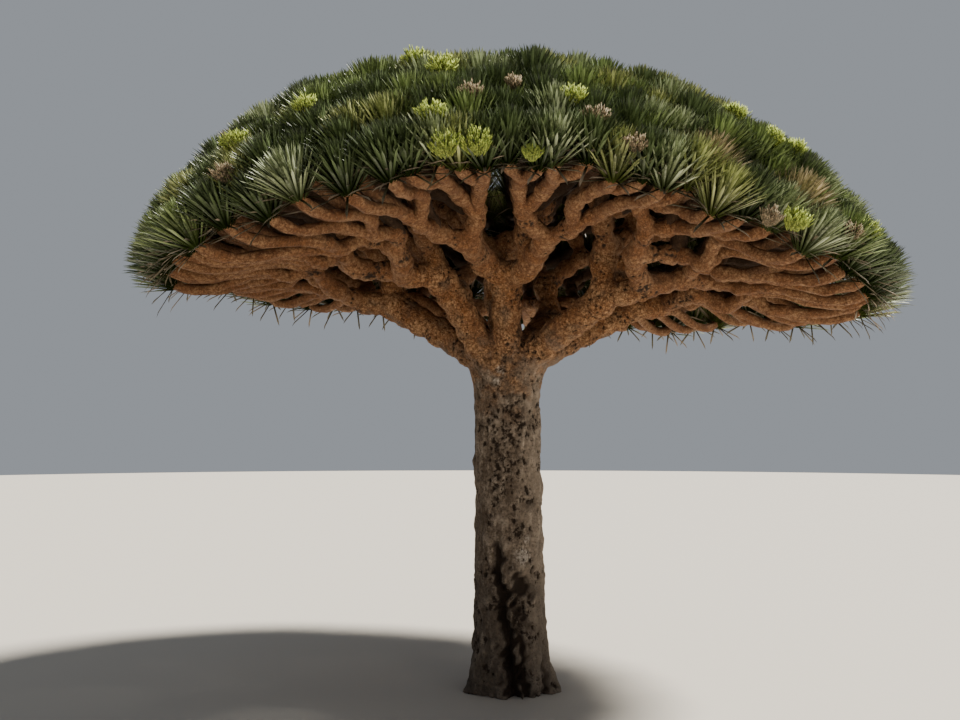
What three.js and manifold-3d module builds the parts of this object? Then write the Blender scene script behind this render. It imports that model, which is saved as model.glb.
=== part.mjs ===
// Dragon blood tree at life size, in millimetres, +Z up, with the origin where the trunk stands on the ground.
// A bare trunk forks once, half-way up. From that fork every limb divides in two again and again, and each
// last twig ends in a tuft of sword leaves. All the tufts sit on one dome, which makes the tree an umbrella.
// The crown is planned from the dome inwards: each limb serves a patch of the dome, and where the limb
// divides, so does its patch.

import * as THREE from "three";
import { mergeVertices } from "three/addons/utils/BufferGeometryUtils.js";
import Module from "manifold-3d";

const wasm = await Module();
wasm.setup();

// The dome that the leaf tips reach.
const CROWN_RADIUS = 4016;
const RIM_HEIGHT = 4060;
const DOME_RISE = 2470;
const DOME_FULLNESS = 2.33;
const DOME_SHOULDER = 1.4;
const CROWN_OFFSET = 50;
const APEX_SHIFT = -430;
const LEFT_TILT = 0.02;
const RIM_TILT = 0.045;
const RIM_TILT_GATHERING = 6;
const FRONT_LIFT = 80;
const BACK_LIFT = 180;
const LIFT_GATHERING = 0.6;

// At the front the rim is drawn in, as if by a dent.
const DENT_TURN = -85;
const DENT_WIDTH = 32;
const DENT_DEPTH = 0.11;

// The tufts stand one leaf below that dome, upright at the apex and leaning outwards at the rim.
const LEAF_REACH = 400;
const RIM_LEVELLING = 52;
const RIM_SHARE = 0.985;
const RIM_CROWDING = 0.5;

// The trunk, from its flat cut at the ground to its fork.
const FORK_HEIGHT = 3450;
const TRUNK_LEAN = -30;
const TRUNK_RADIUS = 352;
const TRUNK_SIDES = 28;
const TRUNK_STATIONS = [0, 110, 300, 650, 1100, 1650, 2400, 3050, 3300, 3520];
const TRUNK_CROWN = 3640;
const ROOT_FLARE = 85;
const ROOT_FLARE_HEIGHT = 250;
const ROOT_LOBES = 5;
const ROOT_LOBE_DEPTH = 0.09;
const BUTT_SWELL = 50;
const BUTT_SWELL_HEIGHT = 2400;
const COLLAR_FLARE = 70;
const COLLAR_HEIGHT = 190;
const CLEFT_FOOT_TURN = -86;
const CLEFT_TOP_TURN = -113;
const CLEFT_TOP = 1600;
const CLEFT_DEPTH = 85;
const CLEFT_WIDTH = 13;

// Limbs: how the forks space themselves from the first one to the tufts, and how much earlier they come towards
// the rim, except at the front; how far the ribs arch, where the boughs start in the collar and how steeply, and
// the thickness of the last twigs.
const FORK_STEPS = [0, 0.2, 0.38];
const EARLY_FORKS = 0.38;
const FORK_GATHERING = 3;
const RIB_ARCH = 0.9;
const ARCH_GATHERING = 4;
const RIB_START = 215;
const START_SLOPE = 0.9;
const TWIG_RADIUS = 58;
const TWIG_ROUNDS = 6;
const PIPE_EXPONENT = 4;
const FORK_HANDLE = 0.28;
const STRAIGHTNESS = 0.6;
const CROOKEDNESS = 60;
const BASE_SWELL = 1.14;
const BOUGH_SIDES = 6;
const BOUGH_STATIONS = 2;
const TWIG_SIDES = 3;
const TWIG_SINK = 0.1;
const TWIG_SHOULDER = 0.12;

// The dome's patches: seven side by side round it, named as they stand anticlockwise from the front, and one at
// the apex. The bough of each forks first at a place along its rib, lifted or dropped from the rib there.
const SECTORS = [
  { name: "front", forkPlace: 0.186, forkLift: 390, opens: "sideways" },
  { name: "front_right", forkPlace: 0.42, forkLift: -260, opens: "outwards" },
  { name: "right", forkPlace: 0.447, forkLift: -310, opens: "outwards" },
  { name: "back_right", forkPlace: 0.39, forkLift: -230, opens: "outwards" },
  { name: "back_left", forkPlace: 0.353, forkLift: -200, opens: "outwards" },
  { name: "left", forkPlace: 0.42, forkLift: -270, opens: "outwards" },
  { name: "front_left", forkPlace: 0.307, forkLift: 200, opens: "outwards" },
];
const APEX = { name: "apex", forkPlace: 0.28, forkLift: 0, opens: "sideways" };
const FRONT_TURN = -90;
const FIRST_LIMB = 8;
const APEX_SHARE = Math.sqrt(1 / (SECTORS.length + 1));
const RIM_GATHERING = 3;
const SPLIT_JITTER = 0.07;
const BOUGH_LEVELS = 2;
const LAST_TWIG_LEVEL = 3;
const TUFT_LEVEL = 4;
const PATCH_MARGIN = 12;

// A mass: a slab of packed leaf bases over its patch, with blades standing out of it that each stand for a spray.
const CORE_PANELS = 2;
const CORE_MARGIN = 8;
const CORE_NEAREST = 0.012;
const CORE_SINK = 50;
const CORE_TOP = 120;
const BLADE_LENGTH = 520;
const BLADE_WIDTH = 210;
const BLADE_THICKNESS = 44;
const BLADE_COUNT = 4;
const BLADE_SPREAD = 60;
const BLADE_LEANS = [50, 38, 26];
const CENTRE_BLADE_LEAN = 8;
const RIM_REACH_GATHERING = 4;

// Flower heads, each given by its compass turn in degrees and its share of the way from apex to rim.
const FLOWER_HEADS = [
  [-100, 0.71],
  [-108, 0.59],
  [-100, 0.9],
  [-98, 0.95],
  [-94, 0.95],
  [-80, 0.86],
  [-87, 0.94],
  [-49, 0.78],
  [-46, 0.84],
  [-40, 0.84],
  [-52, 0.94],
  [-38, 0.94],
  [-122, 0.81],
  [-133, 0.87],
  [-95, 0.85],
  [-88, 0.78],
  [-78, 0.91],
  [-74, 0.95],
  [-56, 0.94],
  [-43, 0.92],
  [-130, 0.93],
  [35, 0.6],
  [100, 0.45],
  [150, 0.75],
];
const FLOWER_HEAD_RADIUS = 130;
const FLOWER_HEAD_HEIGHT = 420;
const FLOWER_HEAD_FOOT = 60;

// What meets without touching stays this far apart.
const GAP = 0.3;

const BARK = new THREE.MeshStandardMaterial({ color: 0x7a6a58, roughness: 0.95, metalness: 0 });
const LIMB_BARK = new THREE.MeshStandardMaterial({ color: 0x9a6b45, roughness: 0.9, metalness: 0 });
const LEAVES = new THREE.MeshStandardMaterial({ color: 0x3f5a2c, roughness: 0.55, metalness: 0 });

const radians = THREE.MathUtils.degToRad;
const lerp = THREE.MathUtils.lerp;
const FORK = new THREE.Vector3(TRUNK_LEAN, 0, FORK_HEIGHT);

// A number from 0 to 1 that depends only on a limb's own number and on what it is drawn for.
function chance(limb, purpose) {
  let mixed = (limb * 2654435761 + purpose * 40503) % 4294967296;
  for (let round = 0; round < 3; round += 1) {
    mixed = (Math.imul(mixed, 1664525) + 1013904223) >>> 0;
    mixed = (mixed ^ (mixed >>> 13)) >>> 0;
  }
  return mixed / 4294967296;
}

function wobble(limb, purpose) {
  return 2 * chance(limb, purpose) - 1;
}

// How far round one turn is from another, from minus to plus half a circle.
function turnBetween(turn, other) {
  return Math.atan2(Math.sin(turn - other), Math.cos(turn - other));
}

// How much a turn has to do with the dent at the front, from 0 to 1.
function dented(turn) {
  return Math.exp(-((turnBetween(turn, radians(DENT_TURN)) / radians(DENT_WIDTH)) ** 2));
}

// The dome of leaf tips: turn is the compass angle in radians, share runs from 0 at the apex to 1 at the rim.
function leafDome(turn, share) {
  const reach = share - DENT_DEPTH * dented(turn) * share ** 3;
  const x = CROWN_OFFSET + APEX_SHIFT * (1 - reach) + CROWN_RADIUS * reach * Math.cos(turn);
  const y = CROWN_RADIUS * reach * Math.sin(turn);
  const rise = DOME_RISE * (1 - reach ** DOME_FULLNESS) ** (1 / DOME_SHOULDER);
  const tilt = LEFT_TILT * Math.max(0, -x) - RIM_TILT * share ** RIM_TILT_GATHERING * x;
  const across = Math.sin(turn);
  const lift = (across > 0 ? BACK_LIFT : FRONT_LIFT) * Math.abs(across) ** LIFT_GATHERING * share ** 3;
  return new THREE.Vector3(x, y, RIM_HEIGHT + rise + tilt + lift);
}

// The way that a tuft faces.
function leafWay(turn, share) {
  const lift = radians(90 - RIM_LEVELLING * share ** 2);
  const level = Math.cos(lift);
  return new THREE.Vector3(level * Math.cos(turn), level * Math.sin(turn), Math.sin(lift));
}

function tuftDome(turn, share) {
  return leafDome(turn, share).addScaledVector(leafWay(turn, share), -LEAF_REACH);
}

// Where a rib has got to: ribs run straight in plan, and arch so that they rise first and level out later.
function ribPoint(turn, share, place) {
  const end = tuftDome(turn, share);
  const arch = 1 - (1 - place) ** (1 + RIB_ARCH * share ** ARCH_GATHERING);
  return new THREE.Vector3(
    lerp(FORK.x, end.x, place),
    lerp(FORK.y, end.y, place),
    lerp(FORK.z, end.z, arch),
  );
}

function ribWay(turn, share, place) {
  const step = 0.02;
  return ribPoint(turn, share, Math.min(place + step, 1))
    .sub(ribPoint(turn, share, place - step))
    .normalize();
}

// A share between a patch's two. At the apex equal steps are equal areas, and elsewhere they gather towards the
// rim, where the dome is steep.
function shareBetween(patch, place) {
  const power = patch.sector === APEX ? 2 : RIM_GATHERING;
  return lerp(patch.fromShare ** power, patch.toShare ** power, place) ** (1 / power);
}

// The middle of a patch of the dome. The patch at the apex is a full turn, and its middle is the apex.
function middle(patch) {
  const whole = patch.toTurn - patch.fromTurn > 6;
  return {
    turn: (patch.fromTurn + patch.toTurn) / 2,
    share: whole ? 0 : shareBetween(patch, 0.5),
  };
}

// A patch divides across its longer side, or as its sector opens first, into halves of about the same area.
function split(patch, limb, opens = "") {
  const { turn, share } = middle(patch);
  const wide = CROWN_RADIUS * Math.max(share, patch.toShare / 2) * (patch.toTurn - patch.fromTurn);
  const deep = tuftDome(turn, patch.fromShare).distanceTo(tuftDome(turn, patch.toShare));
  const cut = 0.5 + SPLIT_JITTER * wobble(limb, 1);
  if (opens === "sideways" || (opens === "" && wide > deep)) {
    const cutTurn = lerp(patch.fromTurn, patch.toTurn, cut);
    return [
      { ...patch, toTurn: cutTurn, side: "a" },
      { ...patch, fromTurn: cutTurn, side: "b" },
    ];
  }
  const cutShare = shareBetween(patch, cut);
  return [
    { ...patch, toShare: cutShare, side: "inner" },
    { ...patch, fromShare: cutShare, side: "outer" },
  ];
}

// Where the limb that serves a patch divides, and the way it points there. Each one strays a little, and keeps
// some of the lift of its bough's first fork, which dies away towards the tufts.
function forkOf(patch, limb, level) {
  const { turn, share } = middle(patch);
  const early = EARLY_FORKS * (1 - dented(turn)) * share ** FORK_GATHERING;
  const step = FORK_STEPS[level] * (1 - early);
  const place = lerp(patch.sector.forkPlace, 1, step);
  const point = ribPoint(turn, share, place);
  const stray = new THREE.Vector3(wobble(limb, 2), wobble(limb, 3), wobble(limb, 4));
  point.addScaledVector(stray, level === 0 ? 0 : CROOKEDNESS);
  point.z += patch.sector.forkLift * (1 - step) ** 4;
  return { point, way: ribWay(turn, share, place) };
}

// A limb is as thick as the number of last twigs that it feeds asks.
function limbRadius(level) {
  return TWIG_RADIUS * (2 ** (TWIG_ROUNDS - level)) ** (1 / PIPE_EXPONENT);
}

// A three.js geometry as a manifold-3d solid.
function solidOf(geometry) {
  const bare = geometry.clone();
  bare.deleteAttribute("normal");
  bare.deleteAttribute("uv");
  const merged = mergeVertices(bare, 1e-3);
  const index = merged.index.array;
  const corners = [];
  for (let i = 0; i < index.length; i += 3) {
    const [a, b, c] = [index[i], index[i + 1], index[i + 2]];
    if (a !== b && b !== c && c !== a) corners.push(a, b, c);
  }
  const mesh = new wasm.Mesh({
    numProp: 3,
    vertProperties: merged.attributes.position.array,
    triVerts: new Uint32Array(corners),
  });
  return new wasm.Manifold(mesh);
}

// Several solids fused into one that has no memory of them. The library holds its solids outside the garbage
// collector's reach, so each one that has done its work is deleted.
function fuse(solids) {
  const fused = wasm.Manifold.union(solids);
  const plain = fused.asOriginal();
  [fused, ...solids].forEach((done) => done.delete());
  return plain;
}

// A manifold-3d solid as a three.js mesh.
function meshOf(solid, name, material) {
  const made = solid.getMesh();
  const position = new THREE.BufferAttribute(new Float32Array(made.vertProperties), 3);
  const geometry = new THREE.BufferGeometry().setAttribute("position", position);
  geometry.setIndex(new THREE.BufferAttribute(made.triVerts, 1));
  geometry.computeVertexNormals();
  const mesh = new THREE.Mesh(geometry, material);
  mesh.name = name;
  return mesh;
}

// Bends a lathe-turned shape, whose axis is Y from 0 to 1, on to a curve. What lies past an end runs straight on.
function bend(geometry, curve) {
  const chord = curve.getPoint(1).sub(curve.getPoint(0));
  const reach = curve.getLength();
  const upright = Math.abs(chord.z) > 0.8 * chord.length();
  const reference = upright ? new THREE.Vector3(1, 0, 0) : new THREE.Vector3(0, 0, 1);
  const position = geometry.getAttribute("position");
  for (let i = 0; i < position.count; i += 1) {
    const along = position.getY(i);
    const place = THREE.MathUtils.clamp(along, 0, 1);
    const way = curve.getTangentAt(place);
    const side = reference.clone().addScaledVector(way, -reference.dot(way)).normalize();
    const other = new THREE.Vector3().crossVectors(side, way);
    const point = curve
      .getPointAt(place)
      .addScaledVector(way, (along - place) * reach)
      .addScaledVector(side, position.getX(i))
      .addScaledVector(other, position.getZ(i));
    position.setXYZ(i, point.x, point.y, point.z);
  }
  return geometry;
}

// The curve of a limb from a fork to the next. It leaves and arrives between the way that each fork points and
// its own straight way.
function limbCurve(from, to) {
  const chord = to.point.clone().sub(from.point);
  const straight = chord.clone().normalize();
  const bent = (fork) => fork.way.clone().lerp(straight, STRAIGHTNESS).setLength(FORK_HANDLE * chord.length());
  return new THREE.CubicBezierCurve3(
    from.point,
    from.point.clone().add(bent(from)),
    to.point.clone().sub(bent(to)),
    to.point,
  );
}

// One tapering bough from a fork to the next, swollen where it leaves the fork and rounded at its tip.
// With spare, it is that much larger all over, which gives the clearance that its neighbours keep.
function boughSolid(from, to, startRadius, endRadius, spare = 0) {
  const curve = limbCurve(from, to);
  const end = spare / curve.getLength();
  const cap = (0.55 * endRadius) / curve.getLength();
  const profile = [new THREE.Vector2(0, -end), new THREE.Vector2(startRadius * BASE_SWELL + spare, -end)];
  for (let station = 1; station <= BOUGH_STATIONS; station += 1) {
    const place = station / BOUGH_STATIONS;
    profile.push(new THREE.Vector2(lerp(startRadius, endRadius, place) + spare, place));
  }
  profile.push(new THREE.Vector2(0.6 * endRadius + spare, 1 + cap));
  profile.push(new THREE.Vector2(0, 1 + cap + end));
  return solidOf(bend(new THREE.LatheGeometry(profile, BOUGH_SIDES), curve));
}

// One twig of a mass, pointed at its start, where it is sunk in the fork that it grows from.
function twigSolid(from, to, startRadius, endRadius, spare) {
  const curve = limbCurve(from, to);
  const end = spare / curve.getLength();
  const profile = [
    new THREE.Vector2(0, -TWIG_SINK - end),
    new THREE.Vector2(startRadius + spare, TWIG_SHOULDER),
    new THREE.Vector2(endRadius + spare, 1),
    new THREE.Vector2(0, 1 + TWIG_SINK + end),
  ];
  return solidOf(bend(new THREE.LatheGeometry(profile, TWIG_SIDES), curve));
}

// The trunk's radius at a height and a compass turn: root flare in lobes, a swollen butt, a cleft up its front
// and a collar where the boughs leave it.
function trunkRadius(height, turn) {
  const flare = Math.exp(-height / ROOT_FLARE_HEIGHT);
  const lobes = 1 + ROOT_LOBE_DEPTH * flare * Math.cos(ROOT_LOBES * turn + 1);
  const swell = BUTT_SWELL * Math.max(0, 1 - height / BUTT_SWELL_HEIGHT) ** 1.5;
  const collar = COLLAR_FLARE * Math.exp(-(((height - FORK_HEIGHT) / COLLAR_HEIGHT) ** 2));
  const cleftTurn = lerp(CLEFT_FOOT_TURN, CLEFT_TOP_TURN, height / CLEFT_TOP);
  const away = turnBetween(turn, radians(cleftTurn)) / radians(CLEFT_WIDTH);
  const cleft = CLEFT_DEPTH * Math.exp(-(away ** 2));
  const depth = cleft * Math.sqrt(Math.max(0, 1 - height / CLEFT_TOP));
  return (TRUNK_RADIUS + ROOT_FLARE * flare + swell + collar) * lobes - depth;
}

function trunkSolid(spare = 0) {
  const profile = [new THREE.Vector2(0, 0)];
  TRUNK_STATIONS.forEach((height) => profile.push(new THREE.Vector2(1, height)));
  profile.push(new THREE.Vector2(0, TRUNK_CROWN + spare));
  const geometry = new THREE.LatheGeometry(profile, TRUNK_SIDES).rotateX(Math.PI / 2);
  const position = geometry.getAttribute("position");
  for (let i = 0; i < position.count; i += 1) {
    const turn = Math.atan2(position.getY(i), position.getX(i));
    const height = position.getZ(i);
    const radius = Math.hypot(position.getX(i), position.getY(i)) * (trunkRadius(height, turn) + spare);
    const x = radius * Math.cos(turn) + (TRUNK_LEAN * height) / FORK_HEIGHT;
    position.setXYZ(i, x, radius * Math.sin(turn), height);
  }
  return solidOf(geometry);
}

// Whether a point keeps to a patch's own space, between its two upright planes and its two cones.
function keepsTo(patch, point) {
  const centre = new THREE.Vector3(CROWN_OFFSET + APEX_SHIFT * (1 - middle(patch).share), 0, 0);
  const flat = point.clone().sub(centre);
  const besides = (turn) => flat.y * Math.cos(turn) - flat.x * Math.sin(turn);
  if (patch.toTurn - patch.fromTurn < Math.PI - 0.1) {
    if (besides(patch.fromTurn) < PATCH_MARGIN || besides(patch.toTurn) > -PATCH_MARGIN) return false;
  }
  const turn = Math.atan2(flat.y, flat.x);
  const outwards = new THREE.Vector3(Math.cos(turn), Math.sin(turn), 0);
  const beyond = (share) => {
    const way = leafWay(turn, share);
    const across = outwards.clone().multiplyScalar(way.z);
    across.z = -Math.hypot(way.x, way.y);
    return point.clone().sub(tuftDome(turn, share)).dot(across);
  };
  if (patch.fromShare > 0 && beyond(patch.fromShare) < PATCH_MARGIN) return false;
  return patch.toShare >= RIM_SHARE || beyond(patch.toShare) < -PATCH_MARGIN;
}

// One blade: a flat three-sided spike, broad at the root that is given and keeled beneath, as a sword leaf is.
function bladeGeometry(root, way, outward, length) {
  const geometry = new THREE.ConeGeometry(1, 1, 3).translate(0, 0.5, 0);
  const across = new THREE.Vector3().crossVectors(way, outward).normalize();
  const beneath = new THREE.Vector3().crossVectors(across, way).normalize();
  const position = geometry.getAttribute("position");
  for (let i = 0; i < position.count; i += 1) {
    const point = root
      .clone()
      .addScaledVector(way, position.getY(i) * length)
      .addScaledVector(across, (position.getX(i) * BLADE_WIDTH) / 2)
      .addScaledVector(beneath, (position.getZ(i) * BLADE_THICKNESS) / 2);
    position.setXYZ(i, point.x, point.y, point.z);
  }
  return geometry;
}

// Two directions across a way, the first of them level.
function crossWays(way) {
  const side = new THREE.Vector3(-way.y, way.x, 0);
  if (side.length() < 0.1) side.set(0, 1, 0);
  side.normalize();
  return [side, new THREE.Vector3().crossVectors(way, side)];
}

// The flower heads that grow on a patch, each a spindle whose lower end is sunk in the core. One that grows by
// the patch's edge stands back from it by its own radius.
function flowerSolids(patch) {
  const { clamp, euclideanModulo } = THREE.MathUtils;
  const span = patch.toTurn - patch.fromTurn;
  const inset = FLOWER_HEAD_RADIUS / CROWN_RADIUS;
  const solids = [];
  for (const [degrees, headShare] of FLOWER_HEADS) {
    const past = euclideanModulo(radians(degrees) - patch.fromTurn, 2 * Math.PI);
    if (past >= span || headShare < patch.fromShare || headShare >= patch.toShare) continue;
    const turn = patch.fromTurn + clamp(past, inset / headShare, span - inset / headShare);
    const share = clamp(headShare, patch.fromShare + inset, patch.toShare - inset);
    const foot = tuftDome(turn, share);
    const head = new THREE.OctahedronGeometry(1);
    head.scale(FLOWER_HEAD_RADIUS, FLOWER_HEAD_HEIGHT / 2, FLOWER_HEAD_RADIUS);
    head.translate(0, FLOWER_HEAD_HEIGHT / 2 + FLOWER_HEAD_FOOT, 0);
    solids.push(solidOf(bend(head, new THREE.LineCurve3(foot, foot.clone().add(leafWay(turn, share))))));
  }
  return solids;
}

// A mass's core: a slab that follows the dome, a margin inside the patch's edges. The box that it is made from
// runs with the turn along X and with the share along Y, and sinks along Z.
function coreSolid(patch, spare) {
  const margin = (CORE_MARGIN - spare) / CROWN_RADIUS;
  const shares = [Math.max(patch.fromShare, CORE_NEAREST) + margin, patch.toShare - margin];
  const geometry = new THREE.BoxGeometry(1, 1, 1, CORE_PANELS, CORE_PANELS, 1);
  const position = geometry.getAttribute("position");
  for (let i = 0; i < position.count; i += 1) {
    const share = lerp(...shares, position.getY(i) + 0.5);
    const inset = margin / share;
    const turn = lerp(patch.fromTurn + inset, patch.toTurn - inset, position.getX(i) + 0.5);
    const depth = lerp(CORE_TOP + spare, -CORE_SINK - spare, position.getZ(i) + 0.5);
    const point = tuftDome(turn, share).addScaledVector(leafWay(turn, share), depth);
    position.setXYZ(i, point.x, point.y, point.z);
  }
  return solidOf(geometry);
}

// Where a patch's tuft stands: in its middle, but nearer the rim where the patch ends at it.
function tuftPlace(patch) {
  const { turn, share } = middle(patch);
  return { turn, share: patch.toShare < RIM_SHARE ? share : lerp(share, RIM_SHARE, RIM_CROWDING) };
}

// A tuft's blades that keep to the mass's space. They end on the dome, and past it at the rim, where they point
// outwards.
function tuftSolids(patch, space, limb) {
  const { turn, share } = tuftPlace(patch);
  const base = tuftDome(turn, share);
  const way = leafWay(turn, share);
  const [side, over] = crossWays(way);
  const height = lerp(LEAF_REACH, BLADE_LENGTH, share ** RIM_REACH_GATHERING);
  const solids = [];
  const add = (leans, spin, spread) => {
    const outward = side.clone().multiplyScalar(Math.cos(spin)).addScaledVector(over, Math.sin(spin));
    const hinge = new THREE.Vector3().crossVectors(way, outward);
    const root = base.clone().addScaledVector(outward, spread);
    for (const lean of leans) {
      const length = Math.min(BLADE_LENGTH, height / Math.cos(radians(lean)));
      const leafAxis = way.clone().applyAxisAngle(hinge, radians(lean));
      const [breadth] = crossWays(leafAxis);
      const corners = [-1, 0, 1].map((hand) =>
        root
          .clone()
          .addScaledVector(leafAxis, hand === 0 ? length : length / 2)
          .addScaledVector(breadth, (hand * BLADE_WIDTH) / 4),
      );
      if (corners.every((point) => keepsTo(space, point))) {
        solids.push(solidOf(bladeGeometry(root, leafAxis, outward, length)));
        return;
      }
    }
  };
  add([CENTRE_BLADE_LEAN], 2 * Math.PI * chance(limb, 5), 0);
  for (let blade = 0; blade < BLADE_COUNT; blade += 1) {
    add(BLADE_LEANS, (2 * Math.PI * (blade + chance(limb, 6))) / BLADE_COUNT, BLADE_SPREAD);
  }
  return solids;
}

// The twigs that grow on from a fork until the core hides them. With spare, each is that much larger.
function twigsFrom(patch, limb, level, from, spare) {
  const last = level === LAST_TWIG_LEVEL;
  const { turn, share } = middle(patch);
  const to = last ? { point: tuftDome(turn, share), way: leafWay(turn, share) } : forkOf(patch, limb, level);
  const twig = twigSolid(from, to, limbRadius(level), limbRadius(level + 0.5), spare);
  if (last) return [twig];
  const halves = split(patch, limb);
  return [twig, ...halves.flatMap((half, hand) => twigsFrom(half, 2 * limb + hand, level + 1, to, spare))];
}

// All the tufts that stand on a patch.
function tuftsOf(patch, space, limb, level) {
  if (level === TUFT_LEVEL) return tuftSolids(patch, space, limb);
  return split(patch, limb).flatMap((half, hand) => tuftsOf(half, space, 2 * limb + hand, level + 1));
}

// With spare, a mass is its core and twigs alone, that much larger: its blades and flowers keep their own
// distance.
function massSolid({ patch, limb, from }, spare = 0) {
  const wood = [coreSolid(patch, spare), ...twigsFrom(patch, limb, BOUGH_LEVELS, from, spare)];
  if (spare > 0) return fuse(wood);
  return fuse([...wood, ...tuftsOf(patch, patch, limb, BOUGH_LEVELS), ...flowerSolids(patch)]);
}

const placed = [];

function boxesMeet(a, b) {
  return [0, 1, 2].every((axis) => a.min[axis] < b.max[axis] && b.min[axis] < a.max[axis]);
}

// Cuts a new solid clear of all that stands already, and keeps its one main piece.
function clearOfOthers(solid) {
  const near = placed.filter((other) => boxesMeet(solid.boundingBox(), other.boundingBox()));
  const clear = wasm.Manifold.difference([solid, ...near]);
  const [largest, ...scraps] = clear.decompose().sort((a, b) => b.volume() - a.volume());
  const plain = largest.asOriginal();
  [solid, clear, largest, ...scraps].forEach((done) => done.delete());
  return plain;
}

const tree = new THREE.Group();
tree.add(meshOf(trunkSolid(), "trunk", BARK));
placed.push(trunkSolid(GAP));

// Places the bough that serves a patch, and goes on to the boughs that grow from its fork. The masses that grow
// from the last boughs are kept for later, when all the boughs stand.
const masses = [];
function placeBoughs(patch, limb, level, from, name) {
  if (level === BOUGH_LEVELS) {
    masses.push({ patch, limb, from, name });
    return;
  }
  const to = forkOf(patch, limb, level);
  const shape = [from, to, limbRadius(level), limbRadius(level + 0.5)];
  tree.add(meshOf(clearOfOthers(boughSolid(...shape)), "bough_" + name, LIMB_BARK));
  placed.push(boughSolid(...shape, GAP));
  split(patch, limb, level === 0 ? patch.sector.opens : "").forEach((half, hand) => {
    placeBoughs(half, 2 * limb + hand, level + 1, to, name + "_" + half.side);
  });
}

SECTORS.forEach((sector, number) => {
  const step = (2 * Math.PI) / SECTORS.length;
  const turn = radians(FRONT_TURN) + number * step;
  const edges = { fromTurn: turn - step / 2, toTurn: turn + step / 2, fromShare: APEX_SHARE, toShare: RIM_SHARE };
  const outwards = new THREE.Vector3(Math.cos(turn), Math.sin(turn), 0);
  const start = FORK.clone().addScaledVector(outwards, RIB_START);
  const way = outwards.setZ(START_SLOPE).normalize();
  placeBoughs({ ...edges, sector }, FIRST_LIMB + number, 0, { point: start, way }, sector.name);
});
const apexPatch = { fromTurn: 0, toTurn: 2 * Math.PI, fromShare: 0, toShare: APEX_SHARE, sector: APEX };
const upright = { point: FORK, way: new THREE.Vector3(0, 0, 1) };
placeBoughs(apexPatch, FIRST_LIMB + SECTORS.length, 0, upright, APEX.name);

masses.forEach((mass) => {
  tree.add(meshOf(clearOfOthers(massSolid(mass)), "foliage_" + mass.name, LEAVES));
  placed.push(massSolid(mass, GAP));
});

export default tree;
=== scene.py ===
"""A dragon blood tree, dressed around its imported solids: bark in relief, twigs, rosettes of sword leaves and
flower heads. All lengths are in metres, +Z is up, and the trunk stands on the ground at the origin."""

import math

import bmesh
import bpy
import numpy as np
from mathutils import Matrix, Vector, kdtree, noise


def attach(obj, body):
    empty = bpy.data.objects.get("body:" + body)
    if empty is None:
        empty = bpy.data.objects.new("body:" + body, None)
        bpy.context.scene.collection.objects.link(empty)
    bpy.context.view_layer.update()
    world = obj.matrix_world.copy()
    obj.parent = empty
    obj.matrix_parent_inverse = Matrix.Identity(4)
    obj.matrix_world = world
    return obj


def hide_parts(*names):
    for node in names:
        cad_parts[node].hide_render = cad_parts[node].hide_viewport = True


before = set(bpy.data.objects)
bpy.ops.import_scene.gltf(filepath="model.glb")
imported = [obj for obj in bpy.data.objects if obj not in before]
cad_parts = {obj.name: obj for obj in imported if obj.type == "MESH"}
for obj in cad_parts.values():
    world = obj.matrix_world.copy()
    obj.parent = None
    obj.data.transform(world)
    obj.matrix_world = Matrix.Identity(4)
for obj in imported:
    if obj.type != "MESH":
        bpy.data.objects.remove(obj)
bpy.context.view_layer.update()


# The trunk: one stout column 0.7 m through, a little swollen towards its foot, with low root lobes where it
# meets the ground. A cleft runs up the front of the butt, beside hollows and a groove. A collar at the top
# gives off the boughs. Its bark is modelled together with theirs, further down.
FORK_HEIGHT = 3.45
TRUNK_LEAN = -0.03
TRUNK_RADIUS = 0.352
TRUNK_TOP = 3.64
TRUNK_SIDES, TRUNK_STATIONS, STATION_GATHERING = 132, 190, 1.15
ROOT_FLARE, ROOT_FLARE_HEIGHT = 0.085, 0.25
ROOT_LOBES, ROOT_LOBE_DEPTH, FIRST_LOBE = 5, 0.09, 1
BUTT_SWELL, BUTT_SWELL_HEIGHT, BUTT_SWELL_FADING = 0.05, 2.4, 1.5
COLLAR_FLARE, COLLAR_HEIGHT = 0.07, 0.19
SAME_PLACE = 1e-5
CLEFTS = [  # turn at the foot and at the top in degrees, height of the top, depth, half width in degrees
    (-86, -113, 1.6, 0.2, 7),
    (-71, -77, 0.75, 0.11, 5),
    (-40, -30, 0.5, 0.06, 6),
    (165, 150, 0.9, 0.08, 7),
]
WANDER_WAVES = [(2.5, 4.1, 0), (1.8, 13, 1), (1.2, 37, 0)]  # degrees aside, waves up the trunk, start
RAGGED_WAVES = [(0.3, 19, 9), (0.25, 47, -16)]  # share of the width, waves up the trunk and round it
CLEFT_FADING, HOLLOW_EDGE = 0.4, 1.5
HOLLOWS = [  # turn in degrees, height, depth, size
    (-73, 1.1, 0.08, 0.12), (-78, 0.86, 0.05, 0.08), (-62, 0.72, 0.03, 0.07), (-118, 0.4, 0.03, 0.08),
    (-70, 2.95, 0.025, 0.08), (-84, 2.45, 0.022, 0.08), (70, 1.3, 0.06, 0.09),
]
BURLS = [  # turn in degrees, height, lift, width
    (-178, 2.4, 0.034, 0.085), (-10, 2.1, 0.026, 0.08), (-55, 1.35, 0.02, 0.1), (-128, 0.25, 0.035, 0.16),
    (-35, 0.12, 0.05, 0.16), (60, 1.4, 0.03, 0.12), (140, 0.8, 0.035, 0.15), (100, 2.5, 0.025, 0.1),
    (-95, 0.9, 0.02, 0.09), (-84, 0.45, 0.025, 0.12),
]


def turn_between(turn, other):
    """How far round one turn is from another, from minus to plus half a circle."""
    return np.arctan2(np.sin(turn - other), np.cos(turn - other))


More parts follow.
